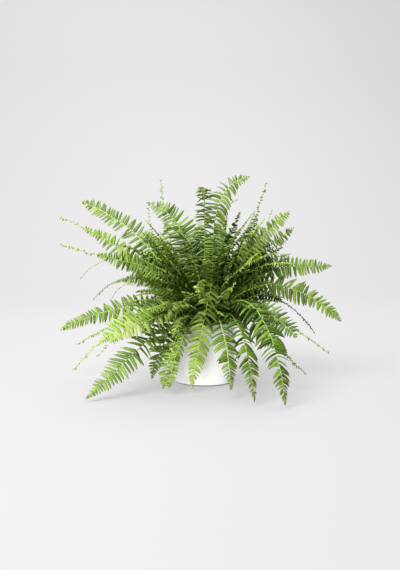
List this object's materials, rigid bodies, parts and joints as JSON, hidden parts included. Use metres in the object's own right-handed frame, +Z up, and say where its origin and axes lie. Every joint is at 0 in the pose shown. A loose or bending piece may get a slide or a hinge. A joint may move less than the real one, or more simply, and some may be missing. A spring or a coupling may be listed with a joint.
{
  "type": "potted fern",
  "caption": "Boston fern with long arching feathery fronds growing from a scaly crown, in a straight white glazed ceramic cover pot.",
  "frame": {"origin": "centre of the cover pot's base, on the surface it stands on", "axes": "+Z up along the pot's axis, -Y towards the front of the plant, +X to its right seen from the front"},
  "size_m": [0.7033, 0.6608, 0.508],
  "materials": {
    "glaze": "glossy white glaze, bare fired clay on the foot",
    "grow_plastic": "thin matte moulded plastic",
    "potting_mix": "coarse, crumbly and damp",
    "crown_scales": "matte, shaggy with thin brown scales",
    "young_leaf": "thin soft leaf, lets light through, satin",
    "leaf": "thin leaf, lets some light through, satin",
    "old_leaf": "firmer dark leaf, satin"
  },
  "bodies": {
    "root": {"pot": "glaze", "grow_pot": "grow_plastic", "potting_mix": "potting_mix", "crown": "crown_scales", "frond_01": "young_leaf", "frond_02": "leaf", "frond_03": "leaf", "frond_04": "leaf", "frond_05": "old_leaf", "frond_06": "leaf", "frond_07": "leaf", "frond_08": "young_leaf", "frond_09": "young_leaf", "frond_10": "old_leaf", "frond_11": "old_leaf", "frond_12": "leaf", "frond_13": "leaf", "frond_14": "young_leaf", "frond_15": "young_leaf", "frond_16": "old_leaf", "frond_17": "leaf", "frond_18": "leaf", "frond_19": "leaf", "frond_20": "leaf", "frond_21": "old_leaf", "frond_22": "leaf", "frond_23": "old_leaf", "frond_24": "leaf", "frond_25": "leaf", "frond_26": "young_leaf", "frond_27": "leaf", "frond_28": "young_leaf", "frond_29": "old_leaf", "frond_30": "young_leaf", "frond_31": "leaf", "frond_32": "young_leaf", "frond_33": "leaf", "frond_34": "old_leaf", "frond_35": "young_leaf", "frond_36": "leaf", "frond_37": "old_leaf", "frond_38": "young_leaf", "frond_39": "leaf", "frond_40": "old_leaf", "frond_41": "young_leaf", "frond_42": "young_leaf", "frond_43": "leaf", "frond_44": "young_leaf", "frond_45": "leaf", "frond_46": "young_leaf", "frond_47": "leaf", "frond_48": "young_leaf", "frond_49": "leaf", "frond_50": "leaf", "frond_51": "young_leaf", "frond_52": "leaf", "frond_53": "young_leaf", "frond_54": "old_leaf", "frond_55": "leaf", "frond_56": "old_leaf"}
  },
  "joints": []
}
